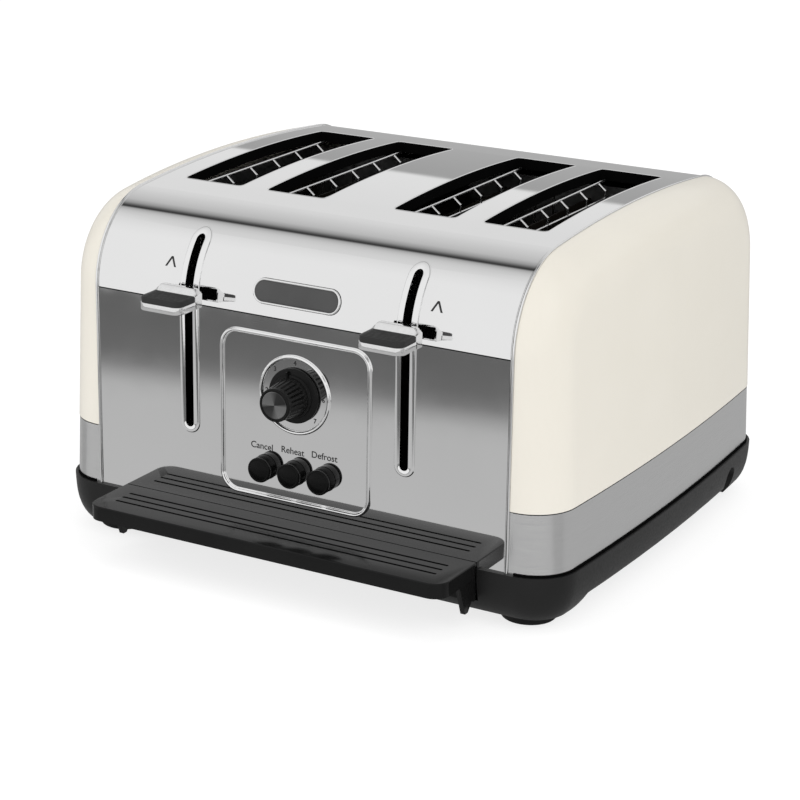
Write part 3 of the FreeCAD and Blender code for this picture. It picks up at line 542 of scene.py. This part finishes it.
def badge_plate():
    """Blank oval name plate: a bright rim round dark enamel, with a painted shadow line round the rim."""
    box_low = low("badge_rim")
    box_high = high("badge_rim")
    z = (box_low.z + box_high.z) / 2
    half_x = box_high.x
    half_z = (box_high.z - box_low.z) / 2
    corner = half_z - 0.01 * MM
    rim = [(0.0, 0.0), (0.0, 0.8), (-0.12, 1.15), (-0.4, 1.38), (-0.75, 1.38), (-1.05, 1.15), (-1.2, 0.8),
           (-1.25, 0.0)]
    panel_ring("badge_bezel", 0.0, z, half_x, half_z, corner, rim, "chrome_trim", ("badge_rim",), 20)
    # flat near-black ring at the rim's outer edge: a painted shadow line
    shadow_ring = [(0.28, 0.03), (-0.3, 0.03), (-0.3, 0.05), (0.28, 0.05)]
    obj = panel_ring("badge_shadow", 0.0, z, half_x, half_z, corner, shadow_ring, "rubber", (), 20)
    obj.data.materials[0] = SHADOW
    shape = bmesh.new()
    rings = []
    for inset, rise in ((1.2, 0.1), (1.2, 0.55), (1.5, 0.72), (2.4, 0.8), (5.0, 0.84)):
        reach = inset * MM
        outline = round_rect(half_x - reach, half_z - reach, half_z - reach - 0.01 * MM, 20)
        rings.append([shape.verts.new(front_point(a, z + b, rise * MM)) for a, b in outline])
    for inner, outer in zip(rings, rings[1:]):
        for i in range(len(inner)):
            j = (i + 1) % len(inner)
            shape.faces.new((inner[i], inner[j], outer[j], outer[i]))
    shape.faces.new(rings[-1])
    shape.faces.new(rings[0])
    piece("badge_face", to_mesh("badge_face", shape, 50), "housing", "badge_enamel", ("badge",))


PRINT_RISE = 0.04 * MM
PRINT_BOLD = 0.06 * MM       # how far the lettering's outlines are swelled


def printed_text(name, words, x, z, size, bold=PRINT_BOLD):
    """Flat printed lettering on the front panel, centred at (x, z)."""
    curve = bpy.data.curves.new(name, "FONT")
    curve.body = words
    curve.size = size
    curve.align_x = "CENTER"
    curve.align_y = "CENTER"
    curve.resolution_u = 6
    curve.offset = bold
    curve.extrude = 0.015 * MM
    source = bpy.data.objects.new(name + "_source", curve)
    bpy.context.collection.objects.link(source)
    bpy.context.view_layer.update()
    graph = bpy.context.evaluated_depsgraph_get()
    mesh = bpy.data.meshes.new_from_object(source.evaluated_get(graph))
    bpy.data.objects.remove(source)
    stand = Matrix.Rotation(math.pi / 2, 4, "X")
    mesh.transform(Matrix.Translation((x, FRONT_Y - PRINT_RISE, z)) @ stand)
    mesh.materials.clear()
    piece(name, mesh, "housing", "dark_component", material=PRINT)


def printed_marks():
    """Function words above the buttons, and the numbers 1 to 7 round the dial."""
    for label, shift, height in (("Cancel", -2.4, 74.3), ("Reheat", -1.5, 74.9), ("Defrost", -0.1, 75.4)):
        button = middle("button_" + label.lower())
        printed_text("label_" + label.lower(), label, button.x + shift * MM, height * MM, 5.2 * MM)
    dial = middle("dial_ring")
    for number in range(1, 8):
        angle = math.radians(45 * (number - 4))
        radius = 17.8 * MM
        x = dial.x + radius * math.sin(angle)
        z = dial.z + radius * math.cos(angle)
        printed_text(f"dial_number_{number}", str(number), x, z, 3.6 * MM, 0.1 * MM)


def chevrons():
    """Printed arrow heads beside the upper end of each lever slot."""
    half_w = 2.95 * MM
    foot = BEND_Z + BEND_R * math.sin(math.radians(20.8))
    apex = BEND_Z + BEND_R * math.sin(math.radians(27.6))
    stroke = 0.62 * MM
    for name, side in SIDES.items():
        shape = bmesh.new()
        centre = side * (82.5 + 0.7 * side) * MM
        for lean in (-1, 1):
            outline = []
            steps = 6
            for edge in (-1, 1):
                run = range(steps + 1) if edge < 0 else range(steps, -1, -1)
                for i in run:
                    part = i / steps
                    x = centre + lean * half_w * (1 - part) + edge * stroke
                    outline.append(shape.verts.new(front_point(x, foot + (apex - foot) * part, 0.05 * MM)))
            half = len(outline) // 2
            for i in range(half - 1):
                shape.faces.new((outline[i], outline[i + 1], outline[-i - 2], outline[-i - 1]))
        piece(f"lift_arrow_{name}", to_mesh("lift_arrow", shape), "housing", "dark_component", material=PRINT)


# ---------------------------------------------------------------- turned pieces
def lathe(x, z, profile, count=72, waves=None):
    """Surface turned about the front-to-back axis through (x, z).

    Each profile point is a radius and a distance in front of the panel, in mm.
    waves(angle, radius, out) may change the radius.
    """
    rings = []
    for radius, out in profile:
        ring = []
        for i in range(count):
            angle = 2 * math.pi * i / count
            reach = waves(angle, radius, out) if waves else radius
            ring.append(Vector((x + reach * MM * math.cos(angle), FRONT_Y - out * MM,
                                z + reach * MM * math.sin(angle))))
        rings.append(ring)
    return surface(rings, closed_path=False, caps=True)


FLUTES = 24
FLUTE_RUN = (5.4, 18.6)      # where the grooves start and end, in front of the panel
FLUTE_DEPTH = 0.75
GRIP_CORE = 8.8              # nothing inside this radius is grooved
POINTER_LEAN = math.radians(12)


def flute(angle, radius, out):
    """Narrow grooves along the grip, fading out before its front rim."""
    start, end = FLUTE_RUN
    if not start < out < end or radius < GRIP_CORE:
        return radius
    fade = min(1.0, (out - start) / 1.2, (end - out) / 1.0)
    wave = math.cos(FLUTES * angle)
    return radius - FLUTE_DEPTH * fade * max(0.0, wave) ** 1.5


def knob_pointer(x, z):
    """Small fin on the skirt that points at the numbers."""
    fin = bmesh.new()
    up = Vector((-math.sin(POINTER_LEAN), 0, math.cos(POINTER_LEAN)))
    across = Vector((math.cos(POINTER_LEAN), 0, math.sin(POINTER_LEAN)))
    hub = Vector((x, FRONT_Y, z))
    corners = []
    for out, near, far, half in ((2.0, 10.0, 14.3, 0.75), (4.6, 10.0, 13.6, 0.6)):
        ring = []
        for radius, sign in ((near, -1), (far, -1), (far, 1), (near, 1)):
            spot = hub + up * radius * MM + across * sign * half * MM - Vector((0, out * MM, 0))
            ring.append(fin.verts.new(spot))
        corners.append(ring)
    fin.faces.new(corners[0])
    fin.faces.new(corners[1])
    for i in range(4):
        j = (i + 1) % 4
        fin.faces.new((corners[0][i], corners[0][j], corners[1][j], corners[1][i]))
    pointer = piece("knob_pointer", to_mesh("knob_pointer", fin), "dial", "black_plastic",
                    material=MATERIALS["gloss_black"])
    bevel(pointer, 0.25 * MM)


def dial():
    """Skirt and fluted grip in one turned piece, the metal cap, and the pointer."""
    x = middle("dial_ring").x
    z = middle("dial_ring").z
    profile = [(3.2, 0.5), (14.9, 0.5), (15.3, 0.8), (15.3, 1.9), (15.05, 2.3), (14.6, 2.45), (12.3, 2.55),
               (12.15, 2.6), (12.0, 3.3), (11.8, 3.6), (11.2, 3.75), (10.9, 3.9), (10.75, 4.4), (10.7, 5.4)]
    steps = 14
    for i in range(steps + 1):
        part = i / steps
        profile.append((10.65 - 1.35 * part, 5.6 + 12.9 * part))
    profile += [(9.25, 18.7), (9.25, 20.3), (9.15, 20.75), (8.85, 21.05), (8.35, 21.1), (8.0, 20.95),
                (7.8, 20.7), (7.75, 20.2), (3.2, 20.2)]
    shape = lathe(x, z, profile, FLUTES * 12, flute)
    piece("knob_grip", to_mesh("knob_grip", shape, 40), "dial", "black_plastic", ("dial_knob",),
          material=plastic("knob_black", grey(0.007), 0.3, 0.14, 1500, 0.06))
    cap = [(0.6, 20.4), (7.7, 20.4), (7.7, 20.75), (7.55, 20.98), (7.3, 21.05), (6.9, 20.98), (0.05, 20.9)]
    mesh = to_mesh("knob_cap", lathe(x, z, cap, 96), 60)
    piece("knob_cap", mesh, "dial", "spun_aluminium", ("dial_cap",))
    knob_pointer(x, z)


def push_buttons():
    """Waisted caps with a fine groove round a slightly domed face."""
    hidden = [(3.0, -6.2), (3.0, -2.8), (8.0, -2.8), (8.0, -1.4), (6.9, -1.3)]
    head = [(6.95, -4.3), (6.85, -4.0), (6.5, -3.85), (6.3, -3.6), (6.35, -3.2), (6.8, -3.05), (7.0, -2.8),
            (7.0, -1.8), (6.9, -1.45), (6.6, -1.15), (6.1, -0.95), (5.9, -1.0), (5.75, -1.05), (5.5, -0.95),
            (4.4, -0.6), (3.0, -0.3), (1.5, -0.1), (0.1, -0.03)]
    for label in ("cancel", "reheat", "defrost"):
        centre = middle("button_" + label)
        reach = (FRONT_Y - low("button_" + label).y) / MM
        profile = hidden + [(radius, reach + back) for radius, back in head]
        mesh = to_mesh("push_button", lathe(centre.x, centre.z, profile, 64), 45)
        piece(f"{label}_cap", mesh, label, "gloss_black", (f"button_{label}",))


# ---------------------------------------------------------------- levers
def slab(x, half_w, front, back, corner, levels):
    """Plate with round front corners, as a stack of outlines: each level is an inset and a height."""
    rings = []
    for inset, z in levels:
        reach = inset * MM
        radius = max(corner - reach, 0.2 * MM)
        outline = [(x + half_w - reach, back), (x - half_w + reach, back)]
        outline += arc(x - half_w + reach + radius, front + reach + radius, radius, 180, 270, 8)
        outline += arc(x + half_w - reach - radius, front + reach + radius, radius, 270, 360, 8)
        rings.append([Vector((a, b, z)) for a, b in outline])
    return surface(rings, closed_path=False, caps=True)


BAR_CORNER = 3.0 * MM        # slanted corners at both ends of the lever's bar


def bar_with_cut_ends(profile, x0, x1, top):
    """The bar's profile run from x0 to x1, with both top corners cut at 45 degrees."""
    steps = 4
    rings = []
    for x_end, inward in ((x0, 1), (x1, -1)):
        half = []
        for i in range(steps + 1):
            run = BAR_CORNER * i / steps
            limit = top - BAR_CORNER + run
            half.append([Vector((x_end + inward * run, y, min(z, limit))) for y, z in profile])
        rings += half if inward > 0 else half[::-1]
    return surface(rings, closed_path=False, caps=True)


def extrusion(profile, x0, x1):
    rings = [[Vector((x, y, z)) for y, z in profile] for x in (x0, x1)]
    return surface(rings, closed_path=False, caps=True)


LEVER_CORNER = 5.0 * MM      # plan rounding of the plate's and the pad's front corners
BAR_DEEP = 6.6 * MM
STEM_HALF = 1.5 * MM
STEM_Z = (152.0 * MM, 158.0 * MM)
RIBS = 7
RIB_FIRST = 2.6              # first rib from the front edge, and the ribs' gap from the side edges
RIB_PITCH = 1.85


def lever_plate(name, body, x, half_w):
    """Metal tray under the grip pad."""
    box_low = low(f"lever_body_{name}")
    pad_low = low(f"lever_pad_{name}")
    z0 = box_low.z
    levels = [(0.5, z0), (0.12, z0 + 0.15 * MM), (0.0, z0 + 0.5 * MM), (0.0, pad_low.z - 0.25 * MM),
              (0.08, pad_low.z - 0.08 * MM), (0.3, pad_low.z)]
    back = high(f"lever_pad_{name}").y + 1.0 * MM
    plate = slab(x, half_w, box_low.y, back, LEVER_CORNER, levels)
    mesh = to_mesh("lever_tray", plate, 50)
    piece(f"lever_tray_{name}", mesh, body, "lever_metal", (f"lever_body_{name}",))


def lever_bar(name, body, x, half_w, bar_front, bar_back):
    """Raised bar behind the pad, a near-black sheet on its back that paints the shade there, and the stem
    that goes into the slot.
    """
    box_low = low(f"lever_body_{name}")
    box_high = high(f"lever_body_{name}")
    nodes = (f"lever_body_{name}",)
    z0 = box_low.z
    top = box_high.z
    profile = [(bar_front, z0), (bar_front, top - 4.2 * MM), (bar_front + 0.25 * MM, top - 3.4 * MM),
               (bar_front + 2.4 * MM, top - 0.5 * MM), (bar_front + 3.1 * MM, top),
               (bar_back - 1.0 * MM, top), (bar_back - 0.3 * MM, top - 0.3 * MM), (bar_back, top - 1.0 * MM),
               (bar_back, z0)]
    shape = bar_with_cut_ends(profile, x - half_w, x + half_w, top)
    bar = piece(f"lever_bar_{name}", to_mesh("lever_bar", shape, 25), body, "lever_metal", nodes)
    bevel(bar, 0.25 * MM, 3, 25)
    # near-black sheet on the bar's back face: painted shade
    outline = [(bar_back, z0 + 0.9 * MM), (bar_back + 0.35 * MM, z0 + 1.2 * MM),
               (bar_back + 0.35 * MM, top - 1.6 * MM), (bar_back, top - 1.3 * MM)]
    shape = extrusion(outline, x - half_w + 1.2 * MM, x + half_w - 1.2 * MM)
    mesh = to_mesh("lever_back_shade", shape, 25)
    piece(f"lever_back_shade_{name}", mesh, body, "black_plastic", material=SHADOW)
    foot, head = STEM_Z
    start = bar_back - 0.5 * MM
    outline = [(start, foot), (box_high.y, foot), (box_high.y, head), (start, head)]
    shape = extrusion(outline, x - STEM_HALF, x + STEM_HALF)
    stem = piece(f"lever_stem_{name}", to_mesh("lever_stem", shape), body, "lever_metal", nodes)
    bevel(stem, 0.2 * MM)


def grip_pad(name, body, x, half_w):
    """Soft pad on the plate, with fine ribs across its top."""
    pad_low = low(f"lever_pad_{name}")
    pad_high = high(f"lever_pad_{name}")
    front = low(f"lever_body_{name}").y
    top = pad_high.z
    levels = [(0.3, pad_low.z), (0.3, top - 0.9 * MM), (0.4, top - 0.5 * MM), (0.7, top - 0.2 * MM),
              (1.15, top)]
    pad = slab(x, half_w, front, pad_high.y, LEVER_CORNER, levels)
    piece(f"grip_pad_{name}", to_mesh("grip_pad", pad, 50), body, "grip_grey", (f"lever_pad_{name}",))
    rib_half = half_w - RIB_FIRST * MM
    outline = ((-0.32, -0.05), (-0.2, 0.14), (0.0, 0.2), (0.2, 0.14), (0.32, -0.05))
    for k in range(RIBS):
        y = front + (RIB_FIRST + RIB_PITCH * k) * MM
        rib = [(y + back * MM, top + up * MM) for back, up in outline]
        mesh = to_mesh("grip_rib", extrusion(rib, x - rib_half, x + rib_half), 50)
        piece(f"grip_rib_{name}_{k + 1}", mesh, body, "grip_grey")


def levers():
    for name in SIDES:
        body = f"lever_{name}"
        box_low = low(f"lever_body_{name}")
        box_high = high(f"lever_body_{name}")
        x = (box_low.x + box_high.x) / 2
        half_w = (box_high.x - box_low.x) / 2
        bar_front = high(f"lever_pad_{name}").y
        lever_plate(name, body, x, half_w)
        lever_bar(name, body, x, half_w, bar_front, bar_front + BAR_DEEP)
        grip_pad(name, body, x, half_w)


# ---------------------------------------------------------------- softened CAD pieces
def soften(node, width, body, angle=30):
    """The node's own shape again, with its sharp edges rounded over."""
    shape = bmesh.new()
    shape.from_mesh(frame["nodes"][node].data)
    bmesh.ops.remove_doubles(shape, verts=shape.verts, dist=0.000002)
    bmesh.ops.dissolve_limit(shape, angle_limit=math.radians(0.5), verts=shape.verts, edges=shape.edges)
    mesh = to_mesh(node + "_soft", shape, angle)
    bevel(piece(node + "_moulding", mesh, body, SLOT_OF[node], (node,)), width, 3, angle)


def moulded_pieces():
    soften("base", 0.5 * MM, "housing")
    soften("tray_handle", 0.3 * MM, "tray")
    soften("feet", 0.3 * MM, "housing")


# ---------------------------------------------------------------- floor, light and camera
def floor():
    """Pale floor with a soft shadow on it."""
    mesh = bpy.data.meshes.new("floor")
    shape = bmesh.new()
    bmesh.ops.create_grid(shape, x_segments=8, y_segments=8, size=8.0)
    shape.to_mesh(mesh)
    shape.free()
    obj = bpy.data.objects.new("floor", mesh)
    bpy.context.collection.objects.link(obj)
    m = Finish("floor_paper")
    m.set(Roughness=0.9)
    m.ramp(m.noise(3, 2), grey(0.34), grey(0.36), "Base Color")
    m.shader.inputs["Specular IOR Level"].default_value = 0.0
    m.shader.inputs["Emission Color"].default_value = (1, 1, 1, 1)
    m.shader.inputs["Emission Strength"].default_value = 0.78
    mesh.materials.append(m.material)
    obj.visible_glossy = False
    obj.location.z = -0.2 * MM


# What the polished steel shows in each direction: degrees from the front, over the top, to the
# rear, and the display value there. Straight runs join these points.
STUDIO = (
    (-180, 170), (-90, 176), (-24, 182), (-20.2, 178), (-19.8, 174), (-19.5, 152), (-19.2, 116),
    (-18.8, 101), (-18.0, 95), (-17.05, 92), (-16.9, 228), (60, 228), (70, 224), (80, 216),
    (87, 207), (93, 188), (96.5, 165), (99, 62), (100.5, 56), (102.5, 88), (107, 150), (114, 184),
    (124, 196), (140, 209),
    (152, 216), (162.3, 221), (163.1, 156), (172, 166), (180, 178),
)
STEEL_SHARE = 0.93     # share of light that the polished steel returns
TILT = -0.057          # small turn of the studio about the line of sight
SIDE_DARK = (0.915, 0.95, 0.32)    # dark curtain at each side: from, to, brightness


def studio():
    """Soft studio all round: the tones of STUDIO, and a dark curtain at each side."""
    world = bpy.data.worlds.new("studio")
    bpy.context.scene.world = world
    world.use_nodes = True
    tree = world.node_tree
    background = tree.nodes["Background"]

    def calc(operation, *values):
        node = tree.nodes.new("ShaderNodeMath")
        node.operation = operation
        for socket, value in zip(node.inputs, values):
            if isinstance(value, (int, float)):
                socket.default_value = value
            else:
                tree.links.new(value, socket)
        return node.outputs[0]

    def between(source, start, end, amount):
        node = tree.nodes.new("ShaderNodeMapRange")
        node.inputs["From Min"].default_value = start
        node.inputs["From Max"].default_value = end
        node.inputs["To Min"].default_value = 0.0
        node.inputs["To Max"].default_value = amount
        tree.links.new(source, node.inputs["Value"])
        return node.outputs["Result"]

    coords = tree.nodes.new("ShaderNodeTexCoord")
    split = tree.nodes.new("ShaderNodeSeparateXYZ")
    tree.links.new(coords.outputs["Generated"], split.inputs[0])
    x, y, z = split.outputs
    rise = calc("ADD", z, calc("MULTIPLY", x, TILT))
    angle = calc("MULTIPLY", calc("ARCTAN2", rise, calc("MULTIPLY", y, -1.0)), 180 / math.pi)
    levels = [(degrees, linear(value) / STEEL_SHARE) for degrees, value in STUDIO]
    total = levels[0][1]
    for (start, first), (end, last) in zip(levels, levels[1:]):
        total = calc("ADD", total, between(angle, start, end, last - first))
    side_from, side_to, side_level = SIDE_DARK
    sideways = calc("ABSOLUTE", x)
    curtain = between(sideways, side_from, side_from + 0.02, 1.0)
    curtain_end = between(sideways, side_to, side_to + 0.01, 1.0)
    share = calc("SUBTRACT", curtain, curtain_end)
    open_part = calc("MULTIPLY", total, calc("SUBTRACT", 1.0, share))
    total = calc("ADD", open_part, calc("MULTIPLY", share, side_level))
    tree.links.new(total, background.inputs["Color"])
    background.inputs["Strength"].default_value = 1.0


def area_light(name, place, target, size, power):
    """Round soft light that isn't seen in the steel."""
    data = bpy.data.lights.new(name, "AREA")
    data.shape = "DISK"
    data.size = size
    data.energy = power
    obj = bpy.data.objects.new(name, data)
    bpy.context.collection.objects.link(obj)
    obj.location = place
    aim = Vector(target) - Vector(place)
    obj.rotation_euler = aim.to_track_quat("-Z", "Y").to_euler()
    obj.visible_glossy = False


CAMERA_PLACE = Vector((0.6489, -1.1674, 0.5142))
CAMERA_TURN = (29.96, 18.27, 0.68)      # degrees: round the object, down, and roll


def camera():
    """Camera at the photograph's angle and distance."""
    data = bpy.data.cameras.new("camera")
    data.sensor_width = 36.0
    data.lens = 109.0
    data.shift_x = 0.0372
    data.shift_y = -0.0075
    obj = bpy.data.objects.new("camera", data)
    bpy.context.collection.objects.link(obj)
    turn, down, roll = (math.radians(value) for value in CAMERA_TURN)
    back = Vector((math.sin(turn) * math.cos(down), -math.cos(turn) * math.cos(down), math.sin(down)))
    right = (-back).cross(Vector((0, 0, 1))).normalized()
    up = right.cross(-back)
    rolled_right = math.cos(roll) * right + math.sin(roll) * up
    rolled_up = -math.sin(roll) * right + math.cos(roll) * up
    columns = Matrix((rolled_right, rolled_up, back)).transposed()
    obj.matrix_world = Matrix.Translation(CAMERA_PLACE) @ columns.to_4x4()
    bpy.context.scene.camera = obj


camera()
shell_trims()
panel_joint()
lever_bezels()
bread_slot_rims()
control_surround()
dial_surround()
badge_plate()
printed_marks()
chevrons()
dial()
push_buttons()
levers()
moulded_pieces()
floor()
studio()
area_light("key", (1.6, -0.4, 1.5), (0, 0, 0.1), 1.6, 9)
area_light("fill", (-1.5, -1.2, 1.3), (0, 0, 0.1), 1.6, 7)
area_light("top", (0.0, 0.3, 2.2), (0, 0, 0.1), 2.0, 8)
bpy.context.scene.view_settings.view_transform = "Standard"
